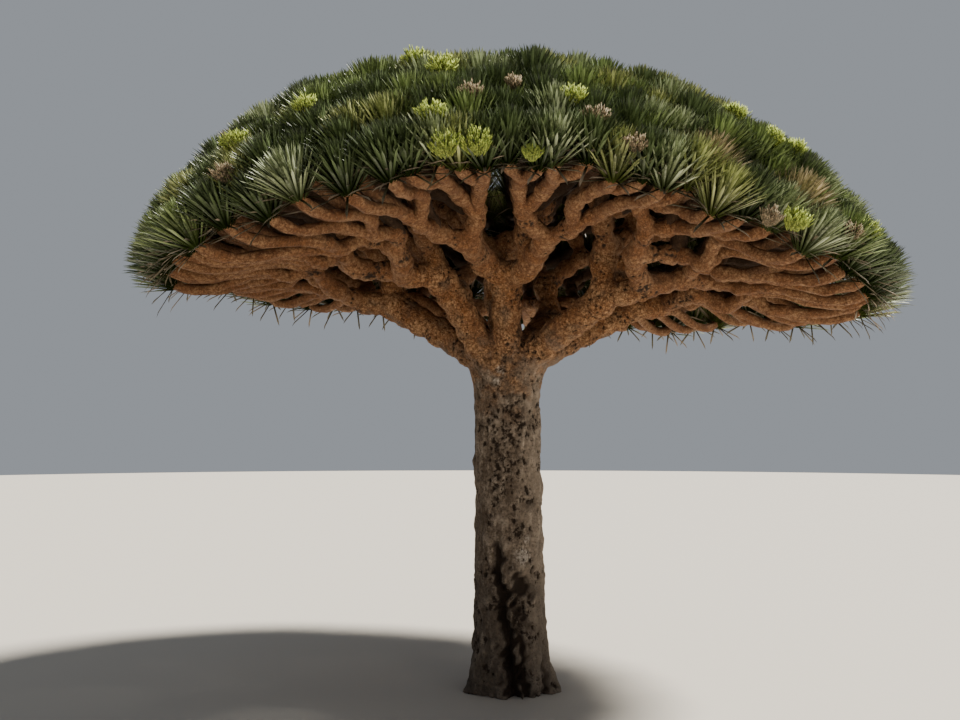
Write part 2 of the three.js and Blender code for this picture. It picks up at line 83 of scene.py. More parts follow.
def trunk_sunk(height, turn):
    """How deep the clefts and hollows lie at each place of the trunk."""
    wander = sum(aside * np.sin(height * waves + start) for aside, waves, start in WANDER_WAVES)
    ragged = 1
    for share, upwards, around in RAGGED_WAVES:
        ragged = ragged + share * np.sin(upwards * height + around * turn)
    sunk = np.zeros_like(height)
    for foot_turn, top_turn, top, depth, width in CLEFTS:
        centre = np.radians(foot_turn + (top_turn - foot_turn) * height / top + wander)
        away = turn_between(turn, centre) * ragged / math.radians(width)
        sunk += depth * np.exp(-(away**2)) * np.clip(1 - height / top, 0, 1) ** CLEFT_FADING
    for degrees, hollow_height, depth, size in HOLLOWS:
        around = turn_between(turn, math.radians(degrees)) * TRUNK_RADIUS / size
        away = (around**2 + ((height - hollow_height) / size) ** 2) * ragged**2
        sunk += depth * np.exp(-(away**HOLLOW_EDGE))
    return sunk


def trunk_radius(height, turn):
    flare = np.exp(-height / ROOT_FLARE_HEIGHT)
    lobes = 1 + ROOT_LOBE_DEPTH * flare * np.cos(ROOT_LOBES * turn + FIRST_LOBE)
    swell = BUTT_SWELL * np.clip(1 - height / BUTT_SWELL_HEIGHT, 0, 1) ** BUTT_SWELL_FADING
    collar = COLLAR_FLARE * np.exp(-(((height - FORK_HEIGHT) / COLLAR_HEIGHT) ** 2))
    radius = (TRUNK_RADIUS + ROOT_FLARE * flare + swell + collar) * lobes - trunk_sunk(height, turn)
    for degrees, burl_height, lift, width in BURLS:
        around = turn_between(turn, math.radians(degrees)) * TRUNK_RADIUS / width
        radius = radius + lift * np.exp(-(around**2) - ((height - burl_height) / width) ** 2)
    return radius


def triangle_mesh(name, points, triangles, smooth=True):
    """A mesh from arrays of points and of triangles."""
    mesh = bpy.data.meshes.new(name)
    mesh.vertices.add(len(points))
    mesh.vertices.foreach_set("co", np.asarray(points, np.float32).ravel())
    mesh.loops.add(3 * len(triangles))
    mesh.loops.foreach_set("vertex_index", np.asarray(triangles, np.int32).ravel())
    mesh.polygons.add(len(triangles))
    mesh.polygons.foreach_set("loop_start", np.arange(0, 3 * len(triangles), 3, dtype=np.int32))
    mesh.polygons.foreach_set("use_smooth", np.full(len(triangles), smooth))
    mesh.update(calc_edges=True)
    mesh.validate()
    return mesh


def arrays_of(form):
    """The points and triangles of a bmesh, which is freed."""
    bmesh.ops.triangulate(form, faces=form.faces)
    form.verts.index_update()
    points = np.array([vertex.co for vertex in form.verts])
    triangles = np.array([[vertex.index for vertex in face.verts] for face in form.faces])
    form.free()
    return points, triangles


def trunk_arrays():
    """A profile of one radius spun about the axis, then drawn to the trunk's radius at each place."""
    form = bmesh.new()
    heights = np.linspace(0, 1, TRUNK_STATIONS) ** STATION_GATHERING * FORK_HEIGHT
    profile = [form.verts.new((0, 0, 0))]
    profile += [form.verts.new((1, 0, height)) for height in heights]
    profile.append(form.verts.new((0, 0, TRUNK_TOP)))
    edges = [form.edges.new(pair) for pair in zip(profile, profile[1:])]
    full_turn = {"cent": (0, 0, 0), "axis": (0, 0, 1), "angle": 2 * math.pi, "steps": TRUNK_SIDES}
    bmesh.ops.spin(form, geom=profile + edges, use_merge=True, **full_turn)
    bmesh.ops.remove_doubles(form, verts=form.verts, dist=SAME_PLACE)
    bmesh.ops.recalc_face_normals(form, faces=form.faces)
    points, triangles = arrays_of(form)
    turn = np.arctan2(points[:, 1], points[:, 0])
    height = points[:, 2]
    radius = np.hypot(points[:, 0], points[:, 1]) * trunk_radius(height, turn)
    points[:, 0] = radius * np.cos(turn) + TRUNK_LEAN * height / FORK_HEIGHT
    points[:, 1] = radius * np.sin(turn)
    return points, triangles


# The limbs: from the collar each bough divides in two again and again, and each last twig ends in a rosette.
# All rosettes sit on one dome, so the limbs are planned from the dome inwards: each serves a patch of it, and
# where the limb divides, so does its patch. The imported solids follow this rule, and here it goes on to twigs.
CROWN_RADIUS = 4.016
RIM_HEIGHT, DOME_RISE = 4.06, 2.47
DOME_FULLNESS, DOME_SHOULDER = 2.33, 1.4
CROWN_OFFSET, APEX_SHIFT = 0.05, -0.43
LEFT_TILT, RIM_TILT, RIM_TILT_GATHERING = 0.02, 0.045, 6
FRONT_LIFT, BACK_LIFT, LIFT_GATHERING = 0.08, 0.18, 0.6
DENT_TURN, DENT_WIDTH, DENT_DEPTH = math.radians(-85), math.radians(32), 0.11
EDGE_GATHERING = 3
LEAF_REACH = 0.4
RIM_LEVELLING = math.radians(52)
RIM_SHARE, RIM_CROWDING = 0.985, 0.5
FORK_STEPS = [0, 0.2, 0.38, 0.54, 0.69, 0.83]
EARLY_FORKS, FORK_GATHERING = 0.38, 3
LAST_LEVEL = len(FORK_STEPS)
RIB_ARCH, ARCH_GATHERING = 0.9, 4
RIB_START, START_SLOPE, RIB_STEP = 0.215, 0.9, 0.02
TWIG_RADIUS, PIPE_EXPONENT = 0.058, 4
FORK_HANDLE, STRAIGHTNESS, CROOKEDNESS = 0.28, 0.6, 0.06
TUFT_HANDLE, TUFT_STRAIGHTNESS, TUFT_STRAY = 0.42, 0.15, 0.055
FORK_LIFT_FADING = 4
CAP_SHOULDER, UPRIGHT = 0.7, 0.8
SECTORS = [  # place of the first fork along the rib, its lift off the rib, and how the bough opens there
    (0.186, 0.39, "sideways"),
    (0.42, -0.26, "outwards"),
    (0.447, -0.31, "outwards"),
    (0.39, -0.23, "outwards"),
    (0.353, -0.2, "outwards"),
    (0.42, -0.27, "outwards"),
    (0.307, 0.2, "outwards"),
]
APEX = (0.28, 0, "sideways")
FRONT_TURN = math.radians(-90)
FIRST_LIMB = 8
APEX_SHARE = math.sqrt(1 / (len(SECTORS) + 1))
RIM_GATHERING, SPLIT_JITTER = 3, 0.07
FORK = Vector((TRUNK_LEAN, 0, FORK_HEIGHT))
HASH_LIMB, HASH_PURPOSE = 2654435761, 40503
HASH_TIMES, HASH_PLUS, HASH_SHIFT, HASH_ROUNDS = 1664525, 1013904223, 13, 3
FOR_SPLIT, FOR_CROOK, FOR_NECK, FOR_TILT, FOR_TINT, FOR_LENGTH, FOR_STRAY = 1, 2, 7, 8, 12, 13, 14
limbs = [[] for _ in range(LAST_LEVEL + 1)]


def chance(limb, purpose):
    """A number from 0 to 1 that depends only on a limb's own number and on what it is drawn for."""
    mixed = (limb * HASH_LIMB + purpose * HASH_PURPOSE) % 2**32
    for _ in range(HASH_ROUNDS):
        mixed = (mixed * HASH_TIMES + HASH_PLUS) % 2**32
        mixed ^= mixed >> HASH_SHIFT
    return mixed / 2**32


def wobble(limb, purpose):
    return 2 * chance(limb, purpose) - 1


def wobbles(limb, purpose):
    """A wobble each way, of the purpose's number and the next two."""
    return Vector([wobble(limb, purpose + axis) for axis in range(3)])


def lerp(a, b, place):
    return a + (b - a) * place


def dented(turn):
    """How much a turn has to do with the dent at the front, from 0 to 1."""
    return math.exp(-((float(turn_between(turn, DENT_TURN)) / DENT_WIDTH) ** 2))


def leaf_dome(turn, share):
    """The dome of leaf tips: share runs from 0 at the apex to 1 at the rim."""
    reach = share - DENT_DEPTH * dented(turn) * share**EDGE_GATHERING
    x = CROWN_OFFSET + APEX_SHIFT * (1 - reach) + CROWN_RADIUS * reach * math.cos(turn)
    y = CROWN_RADIUS * reach * math.sin(turn)
    rise = DOME_RISE * (1 - reach**DOME_FULLNESS) ** (1 / DOME_SHOULDER)
    tilt = LEFT_TILT * max(0, -x) - RIM_TILT * share**RIM_TILT_GATHERING * x
    across = math.sin(turn)
    lift = (BACK_LIFT if across > 0 else FRONT_LIFT) * abs(across) ** LIFT_GATHERING
    return Vector((x, y, RIM_HEIGHT + rise + tilt + lift * share**EDGE_GATHERING))


def leaf_way(turn, share):
    """The way that a rosette faces."""
    lift = math.pi / 2 - RIM_LEVELLING * share**2
    return Vector((math.cos(lift) * math.cos(turn), math.cos(lift) * math.sin(turn), math.sin(lift)))


def tuft_dome(turn, share):
    return leaf_dome(turn, share) - LEAF_REACH * leaf_way(turn, share)


def rib_point(turn, share, place):
    end = tuft_dome(turn, share)
    arch = 1 - (1 - place) ** (1 + RIB_ARCH * share**ARCH_GATHERING)
    return Vector((lerp(FORK.x, end.x, place), lerp(FORK.y, end.y, place), lerp(FORK.z, end.z, arch)))


def rib_way(turn, share, place):
    further = rib_point(turn, share, min(place + RIB_STEP, 1))
    return (further - rib_point(turn, share, place - RIB_STEP)).normalized()


def share_between(patch, place):
    """A share between the patch's two. At the apex equal steps are equal areas, and elsewhere they gather
    towards the rim, where the dome is steep."""
    power = 2 if patch["sector"] is APEX else RIM_GATHERING
    return lerp(patch["from_share"] ** power, patch["to_share"] ** power, place) ** (1 / power)


def middle(patch):
    whole = patch["to_turn"] - patch["from_turn"] >= 2 * math.pi
    turn = (patch["from_turn"] + patch["to_turn"]) / 2
    return turn, 0 if whole else share_between(patch, 0.5)


def split(patch, limb, opens=""):
    """Halves of about the same area, divided across the longer side, or as the bough opens first."""
    turn, share = middle(patch)
    wide = CROWN_RADIUS * max(share, patch["to_share"] / 2) * (patch["to_turn"] - patch["from_turn"])
    deep = (tuft_dome(turn, patch["from_share"]) - tuft_dome(turn, patch["to_share"])).length
    cut = 0.5 + SPLIT_JITTER * wobble(limb, FOR_SPLIT)
    if opens == "sideways" or (not opens and wide > deep):
        cut_turn = lerp(patch["from_turn"], patch["to_turn"], cut)
        return {**patch, "to_turn": cut_turn}, {**patch, "from_turn": cut_turn}
    cut_share = share_between(patch, cut)
    return {**patch, "to_share": cut_share}, {**patch, "from_share": cut_share}


def fork_of(patch, limb, level):
    """Where the limb that serves a patch divides, and the way it points there."""
    turn, share = middle(patch)
    fork_place, fork_lift, _ = patch["sector"]
    step = FORK_STEPS[level] * (1 - EARLY_FORKS * (1 - dented(turn)) * share**FORK_GATHERING)
    place = lerp(fork_place, 1, step)
    point = rib_point(turn, share, place)
    if level > 0:
        point += CROOKEDNESS * wobbles(limb, FOR_CROOK)
    point.z += fork_lift * (1 - step) ** FORK_LIFT_FADING
    return point, rib_way(turn, share, place)


def tuft_of(patch, limb):
    """Where a patch's rosette stands: about its middle, but nearer the rim where the patch ends at it."""
    turn, share = middle(patch)
    if patch["to_share"] >= RIM_SHARE:
        share = lerp(share, RIM_SHARE, RIM_CROWDING)
    return tuft_dome(turn, share) + TUFT_STRAY * wobbles(limb, FOR_STRAY), leaf_way(turn, share)


def limb_radius(level):
    """A limb is as thick as the number of last twigs that it feeds asks."""
    return TWIG_RADIUS * 2 ** ((LAST_LEVEL - level) / PIPE_EXPONENT)


def grow(patch, number, level, start):
    """Plans the limb that serves a patch, and those that grow on from its fork."""
    end = tuft_of(patch, number) if level == LAST_LEVEL else fork_of(patch, number, level)
    limbs[level].append({"number": number, "level": level, "start": start, "end": end, "patch": patch})
    if level < LAST_LEVEL:
        for hand, half in enumerate(split(patch, number, patch["sector"][2] if level == 0 else "")):
            grow(half, 2 * number + hand, level + 1, end)


for number, sector in enumerate(SECTORS):
    step = 2 * math.pi / len(SECTORS)
    turn = FRONT_TURN + number * step
    outwards = Vector((math.cos(turn), math.sin(turn), 0))
    patch = {"from_turn": turn - step / 2, "to_turn": turn + step / 2, "sector": sector}
    patch.update(from_share=APEX_SHARE, to_share=RIM_SHARE)
    start = (FORK + RIB_START * outwards, (outwards + Vector((0, 0, START_SLOPE))).normalized())
    grow(patch, FIRST_LIMB + number, 0, start)
apex_patch = {"from_turn": 0, "to_turn": 2 * math.pi, "from_share": 0, "to_share": APEX_SHARE, "sector": APEX}
grow(apex_patch, FIRST_LIMB + len(SECTORS), 0, (FORK, Vector((0, 0, 1))))


def unit(rows):
    """The same ways, each of length 1."""
    return rows / np.linalg.norm(rows, axis=-1, keepdims=True)


def turned(first, second, angles):
    """Ways turned from the first towards the second by each of the angles."""
    return np.cos(angles)[:, None] * first + np.sin(angles)[:, None] * second


def joined(parts):
    """Several pairs of points and triangles as one pair."""
    starts = np.cumsum([0] + [len(points) for points, _ in parts])
    points = np.concatenate([points for points, _ in parts])
    return points, np.concatenate([triangles + start for (_, triangles), start in zip(parts, starts)])


def limb_line(limb, places):
    """Points on a limb's middle line, and the ways it runs there. It leaves and arrives between the way that
    each fork points and its own straight way, and the last twig turns up into its rosette."""
    (start, start_way), (end, end_way) = limb["start"], limb["end"]
    chord = end - start
    straight = chord.normalized()
    last = limb["level"] == LAST_LEVEL
    handle, straightness = (TUFT_HANDLE, TUFT_STRAIGHTNESS) if last else (FORK_HANDLE, STRAIGHTNESS)
    first = start + FORK_HANDLE * chord.length * start_way.lerp(straight, STRAIGHTNESS).normalized()
    second = end - handle * chord.length * end_way.lerp(straight, straightness).normalized()
    a, b, c, d = (np.array(point) for point in (start, first, second, end))
    t = places[:, None]
    line = (1 - t) ** 3 * a + 3 * (1 - t) ** 2 * t * b + 3 * (1 - t) * t**2 * c + t**3 * d
    ways = (1 - t) ** 2 * (b - a) + 2 * (1 - t) * t * (c - b) + t**2 * (d - c)
    return line, unit(ways)


def tube_form(sides, rings):
    """A closed tube as a sphere whose rings are counted from its start: ring numbers, turns and triangles."""
    form = bmesh.new()
    bmesh.ops.create_uvsphere(form, u_segments=sides, v_segments=rings + 1, radius=1)
    bmesh.ops.rotate(form, verts=form.verts, matrix=Matrix.Rotation(math.pi, 3, "X"))
    points, triangles = arrays_of(form)
    ring = np.rint(np.arccos(np.clip(points[:, 2], -1, 1)) * (rings + 1) / math.pi).astype(int)
    return ring, np.arctan2(points[:, 1], points[:, 0]), triangles


def tubes_along(made, sides, stations, radius_at):
    """One round-ended tube along each limb, of the radius that is asked for at each place."""
    ring, turns, triangles = tube_form(sides, stations + 2)
    places = np.linspace(0, 1, stations)
    parts = []
    for limb in made:
        line, ways = limb_line(limb, places)
        radii = radius_at(limb, places)
        start_cap = [line[0] - share * radii[0] * ways[0] for share in (1, CAP_SHOULDER)]
        end_cap = [line[-1] + share * radii[-1] * ways[-1] for share in (CAP_SHOULDER, 1)]
        line = np.vstack([*start_cap, line, *end_cap])
        ways = np.vstack([ways[:1], ways[:1], ways, ways[-1:], ways[-1:]])
        radii = np.concatenate([[0, CAP_SHOULDER * radii[0]], radii, [CAP_SHOULDER * radii[-1], 0]])
        upright = abs(ways.mean(axis=0)[2]) > UPRIGHT
        side = unit(np.cross(ways, (1.0, 0, 0) if upright else (0, 0, 1.0)))
        around = turned(side[ring], np.cross(ways, side)[ring], turns)
        parts.append((line[ring] + radii[ring][:, None] * around, triangles))
    return joined(parts)


# The bark of trunk and boughs: a corky skin, grey-brown and pitted on the trunk, warmer on the boughs. Both
# are fused as the living wood is, the crotches are rounded off, and folds, fibres and pits are worked into
# the skin itself. It is then parted a little below the fork, which keeps each piece light enough.
BOUGH_SIDES, BOUGH_STATIONS, BARK_CELL = 20, 40, 0.016
PARTING_HEIGHT = 3.1
BOUGH_SWELL, BOUGH_TIP_SWELL, SWELL_REACH, BARK_THICKNESS = 0.18, 0.12, 0.2, 0.03
GROWTH_LENGTH, NECK_DEPTHS = 0.2, [0.14, 0.17, 0.24, 0.28, 0.26, 0.22, 0.15]
NECK_STRAY, NECK_SHARPNESS = 0.3, 5
CROTCH_REACH, CROTCH_ROUNDS, CROTCH_PULL = 0.2, 14, 0.5
SKIN_ROUNDS, SKIN_PULL = 2, 0.4
TRUNK_BARK_END, TRUNK_BARK_FADING = FORK_HEIGHT - 0.05, 0.35
FOLD_DEPTH, FOLD_SCALES, FINE_FOLDS = 0.017, (5.5, 12.0), 0.5
FIBRE_DEPTH, FIBRE_SCALES, FIBRE_OFFSET, FINE_FIBRES = 0.01, (17.0, 38.0), 3.0, 0.6
FIBRE_SQUEEZES = (1, 1, 0.22), (1, 1, 0.3)
WRINKLE_DEPTH, WRINKLE_SCALE, WRINKLE_OFFSET, TRUNK_WRINKLES = 0.008, 27.0, 5.0, 0.5
PIT_DEPTH, TRUNK_PIT_SIZE, BOUGH_PIT_SIZE, BOUGH_PIT_DEPTH = 0.026, 0.023, 0.0207, 0.8
PIT_SIZES, PIT_DEPTHS, PIT_EDGE = (0.5, 1.35), (0.6, 1), 1.2
PIT_RAGGEDNESS = [(0.6, 30.0), (0.45, 65.0)]  # share of the pit's size, and how many waves a metre
PIT_GATHERING, GATHERED_SCALE, GATHERED_OFFSET, MORE_PITS, FEWEST_PITS = 1.5, 4.2, 9.0, 0.05, 0.02
TRUNK_PITS, BOUGH_PITS = 1000, 2400
TRUNK_PIT_STRETCH = 1.4
SCARRED_PLACE, SCARRED_SIZE, SCARRED_ODDS = (-0.03, -0.34, 2.62), (0.17, 0.2, 0.48), 0.6
CLEFT_SHADE = 0.07
BARK_SEED = 5


def bough_radius(limb, places):
    """A limb swells where it leaves a fork and again where it nears the next, and it has a neck between every
    two lengths that it has grown."""
    level = limb["level"]
    plain = lerp(limb_radius(level), limb_radius(level + 0.5), places)
    knuckle = BOUGH_SWELL * np.exp(-((places / SWELL_REACH) ** 2))
    knuckle = knuckle + BOUGH_TIP_SWELL * np.exp(-(((1 - places) / SWELL_REACH) ** 2))
    lengths = max(1, round((limb["end"][0] - limb["start"][0]).length / GROWTH_LENGTH))
    aside = NECK_STRAY * wobble(limb["number"], FOR_NECK) / lengths
    neck = NECK_DEPTHS[level] * np.abs(np.cos(math.pi * lengths * (places + aside))) ** NECK_SHARPNESS
    return plain * (1 + knuckle + BARK_THICKNESS - neck)


def add_object(name, data):
    made = bpy.data.objects.new(name, data)
    bpy.context.collection.objects.link(made)
    return made


def fused(name, parts, cell):
    """Several closed shapes fused into one skin of even cells."""
    rough = add_object(name, triangle_mesh(name, *joined(parts)))
    remesh = rough.modifiers.new("even cells", "REMESH")
    remesh.mode = "VOXEL"
    remesh.voxel_size = cell
    remesh.use_smooth_shade = True
    graph = bpy.context.evaluated_depsgraph_get()
    mesh = bpy.data.meshes.new_from_object(rough.evaluated_get(graph))
    bpy.data.objects.remove(rough)
    mesh.name = name
    return mesh


def points_of(mesh):
    points = np.empty(3 * len(mesh.vertices))
    mesh.vertices.foreach_get("co", points)
    return points.reshape(-1, 3)


def set_points(mesh, points):
    mesh.vertices.foreach_set("co", np.asarray(points, np.float32).ravel())
    mesh.update()


def relax(mesh, points, weights, rounds):
    """Draws each point towards the middle of its neighbours, by its own weight, several times."""
    ends = np.empty(2 * len(mesh.edges), np.int32)
    mesh.edges.foreach_get("vertices", ends)
    a, b = ends.reshape(-1, 2).T
    count = len(points)
    neighbours = np.bincount(ends, minlength=count).astype(float)
    for _ in range(rounds):
        sums = [np.bincount(a, column[b], count) + np.bincount(b, column[a], count) for column in points.T]
        points = points + weights[:, None] * (np.stack(sums, axis=1) / neighbours[:, None] - points)
    return points


def nearest(points, others):
    """For each point, which of the others is nearest and how far it is."""
    tree = kdtree.KDTree(len(others))
    for index, other in enumerate(others):
        tree.insert(other, index)
    tree.balance()
    found = [tree.find(point) for point in points.tolist()]
    return np.array([hit[1] for hit in found]), np.array([hit[2] for hit in found])


def noise_at(points, scale, offset=0.0):
    return np.array([noise.noise(point) for point in (points * scale + offset).tolist()])


def pits_at(points, count, size, seed, stretch, where):
    """How deep in a pit each point is, from 0 to 1. Pits gather where the noise is high, and in one scarred
    place at the front of the trunk."""
    random = np.random.default_rng(seed)
    candidates = np.flatnonzero(where)
    scarred = np.exp(-np.sum(((points[candidates] - SCARRED_PLACE) / SCARRED_SIZE) ** 2, axis=1))
    gathered = noise_at(points[candidates], GATHERED_SCALE, GATHERED_OFFSET) + MORE_PITS
    odds = np.clip(gathered, FEWEST_PITS, 1) ** PIT_GATHERING + SCARRED_ODDS * scarred
    centres = points[random.choice(candidates, count, replace=False, p=odds / odds.sum())]
    squeeze = np.array((1, 1, 1 / stretch))
    depth = np.zeros(len(points))
    which, away = nearest(points[candidates] * squeeze, (centres * squeeze).tolist())
    ragged = 1
    for share, scale in PIT_RAGGEDNESS:
        ragged = ragged + share * noise_at(points[candidates], scale)
    sizes = size * random.uniform(*PIT_SIZES, count)[which]
    hollow = np.exp(-((away / (sizes * ragged)) ** 2) * PIT_EDGE)
    depth[candidates] = hollow * random.uniform(*PIT_DEPTHS, count)[which]
    return depth


def add_attribute(mesh, label, values):
    layer = mesh.attributes.new(label, "FLOAT", "POINT")
    layer.data.foreach_set("value", values.astype(np.float32))


def sink_bark(mesh, forks, pits_on_trunk, pits_on_boughs, seed, fork_reach=CROTCH_REACH):
    """Rounds the crotches off and works folds, fibres and pits into the skin. They are kept as attributes,
    because the materials paint shade into the low places."""
    points = points_of(mesh)
    crotch = np.exp(-((nearest(points, forks)[1] / fork_reach) ** 2))
    points = relax(mesh, points, CROTCH_PULL * crotch, CROTCH_ROUNDS)
    points = relax(mesh, points, np.full(len(points), SKIN_PULL), SKIN_ROUNDS)
    set_points(mesh, points)
    normals = np.empty(3 * len(points), np.float32)
    mesh.vertex_normals.foreach_get("vector", normals)
    normals = normals.reshape(-1, 3)
    on_trunk = np.clip((TRUNK_BARK_END - points[:, 2]) / TRUNK_BARK_FADING, 0, 1)
    folds = noise_at(points, FOLD_SCALES[0]) + FINE_FOLDS * noise_at(points, FOLD_SCALES[1])
    fibres = noise_at(points * FIBRE_SQUEEZES[0], FIBRE_SCALES[0], FIBRE_OFFSET)
    fibres = fibres + FINE_FIBRES * noise_at(points * FIBRE_SQUEEZES[1], FIBRE_SCALES[1])
    wrinkles = noise_at(points, WRINKLE_SCALE, WRINKLE_OFFSET) * (1 - (1 - TRUNK_WRINKLES) * on_trunk)
    on_boughs = (1 - on_trunk) * BOUGH_PIT_DEPTH
    pit = pits_at(points, pits_on_boughs, BOUGH_PIT_SIZE, seed, 1, on_trunk < 0.5) * on_boughs
    if pits_on_trunk:
        size, stretch = TRUNK_PIT_SIZE, TRUNK_PIT_STRETCH
        pit = pit + pits_at(points, pits_on_trunk, size, seed + 1, stretch, on_trunk > 0) * on_trunk
    shift = FOLD_DEPTH * folds + FIBRE_DEPTH * fibres * on_trunk + WRINKLE_DEPTH * wrinkles - PIT_DEPTH * pit
    points = points + normals * shift[:, None]
    points[:, 2] = np.maximum(points[:, 2], 0)
    set_points(mesh, points)
    turn = np.arctan2(points[:, 1], points[:, 0] - TRUNK_LEAN * points[:, 2] / FORK_HEIGHT)
    sunk = np.clip(trunk_sunk(points[:, 2], turn) / CLEFT_SHADE, 0, 1) * (points[:, 2] < CLEFTS[0][2])
    add_attribute(mesh, "pit", pit)
    add_attribute(mesh, "fold", (1 + folds) / 2)
    add_attribute(mesh, "fibre", (1 + fibres) / 2)
    add_attribute(mesh, "sunk", sunk)


def put_in_scene(name, mesh, material):
    """A finished piece: at the origin, riding on the tree's one body."""
    mesh.materials.append(material)
    piece = add_object(name, mesh)
    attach(piece, "root")
    return piece


def new_material(name):
    material = bpy.data.materials.new(name)
    material.use_nodes = True
    tree = material.node_tree
    return material, tree, tree.nodes["Principled BSDF"]


def set_inputs(tree, made, values):
    """Sets a shader node's inputs. A value that is a socket is linked."""
    for key, value in values.items():
        if isinstance(value, bpy.types.NodeSocket):
            tree.links.new(value, made.inputs[key])
        else:
            made.inputs[key].default_value = value


def node(tree, kind, values=None, **settings):
    """A shader node with its settings and input values."""
    made = tree.nodes.new("ShaderNode" + kind)
    for key, value in settings.items():
        setattr(made, key, value)
    set_inputs(tree, made, values or {})
    return made


def mix(tree, factor, first, second):
    return node(tree, "Mix", {0: factor, 6: first, 7: second}, data_type="RGBA").outputs[2]


def times(tree, first, second, plus=0, **settings):
    """One value times another, plus a third."""
    values = {0: first, 1: second, 2: plus}
    return node(tree, "Math", values, operation="MULTIPLY_ADD", **settings).outputs[0]


def spread(tree, value, low, high):
    """A mask that runs from 0 at one value to 1 at the other."""
    values = {"Value": value, "From Min": low, "From Max": high}
    return node(tree, "MapRange", values, interpolation_type="SMOOTHSTEP").outputs[0]


def noise_texture(tree, place, scale, detail, roughness=0.5):
    values = {"Vector": place, "Scale": scale, "Detail": detail, "Roughness": roughness}
    return node(tree, "TexNoise", values).outputs


def object_place(tree):
    return node(tree, "TexCoord").outputs["Object"]


def attribute(tree, label):
    return node(tree, "Attribute", attribute_name=label, attribute_type="GEOMETRY").outputs["Fac"]


def bump(tree, height, strength, distance):
    values = {"Height": height, "Strength": strength, "Distance": distance}
    return node(tree, "Bump", values).outputs[0]


def bark_pattern():
    """A group that every bark uses: patches, mottling and fine pores at life size, and their height."""
    group = bpy.data.node_groups.new("bark pattern", "ShaderNodeTree")
    group.interface.new_socket("Position", in_out="INPUT", socket_type="NodeSocketVector")
    for label in ("Patches", "Mottle", "Pores", "Cracks", "Flecks", "Height"):
        group.interface.new_socket(label, in_out="OUTPUT", socket_type="NodeSocketFloat")
    entry = group.nodes.new("NodeGroupInput").outputs["Position"]
    leave = group.nodes.new("NodeGroupOutput")
    patches = noise_texture(group, entry, 4.5, 4, 0.6)
    mottle = noise_texture(group, entry, 26, 6, 0.68)
    fine = noise_texture(group, entry, 85, 3)
    cells = node(group, "TexVoronoi", {"Vector": entry, "Scale": 34, "Randomness": 1})
    bent = node(group, "Mix", {0: 0.06, 4: entry, 5: mottle["Color"]}, data_type="VECTOR")
    bent_place = {"Vector": bent.outputs[1], "Scale": 24}
    plates = node(group, "TexVoronoi", bent_place, feature="DISTANCE_TO_EDGE")
    cracks = times(group, spread(group, plates.outputs["Distance"], 0.09, 0), mottle[0])
    pores = spread(group, cells.outputs["Distance"], 0.42, 0.1)
    height = times(group, fine[0], 0.35, mottle[0])
    height = times(group, pores, -0.5, height)
    height = times(group, cracks, -0.9, height)
    masks = {"Patches": spread(group, patches[0], 0.35, 0.65), "Mottle": spread(group, mottle[0], 0.32, 0.68)}
    set_inputs(group, leave, {**masks, "Pores": pores, "Cracks": cracks, "Flecks": fine[0], "Height": height})
    return group


BARK_PATTERN = bark_pattern()
TRUNK_DARK, TRUNK_MID, TRUNK_PALE = (0.085, 0.062, 0.044, 1), (0.19, 0.143, 0.103, 1), (0.37, 0.3, 0.23, 1)
LIMB_DEEP, LIMB_WARM, LIMB_PALE = (0.092, 0.034, 0.012, 1), (0.265, 0.115, 0.042, 1), (0.5, 0.32, 0.175, 1)
PIT_BLACK, TRUNK_STAIN, TRUNK_FOOT = (0.02, 0.012, 0.007, 1), (0.06, 0.04, 0.026, 1), (0.048, 0.039, 0.03, 1)
BARK_ROUGHNESS, BARK_SHEEN, BARK_BUMP = 0.92, 0.25, (0.9, 0.012)
LICHEN = (0.45, 0.4, 0.34, 1)
LICHEN_SPOTS = [  # place, and size
    ((-0.1, -0.36, 3.36), 0.045), ((-0.14, -0.34, 3.23), 0.04),
    ((0.13, -0.34, 1.42), 0.07), ((0.18, -0.31, 1.6), 0.04),
]


def limb_colour(tree, pattern):
    """Warm bark of the boughs: deep red-brown in its cracks, sandy and flecked on its crests."""
    warm = mix(tree, pattern["Mottle"], LIMB_DEEP, LIMB_WARM)
    patchy = times(tree, times(tree, pattern["Patches"], 0.6), pattern["Mottle"])
    warm = mix(tree, patchy, warm, LIMB_PALE)
    flecks = times(tree, spread(tree, pattern["Flecks"], 0.56, 0.7), 0.6)
    warm = mix(tree, flecks, warm, LIMB_PALE)
    cracks = times(tree, pattern["Cracks"], 1.3, use_clamp=True)
    return mix(tree, cracks, warm, LIMB_DEEP)


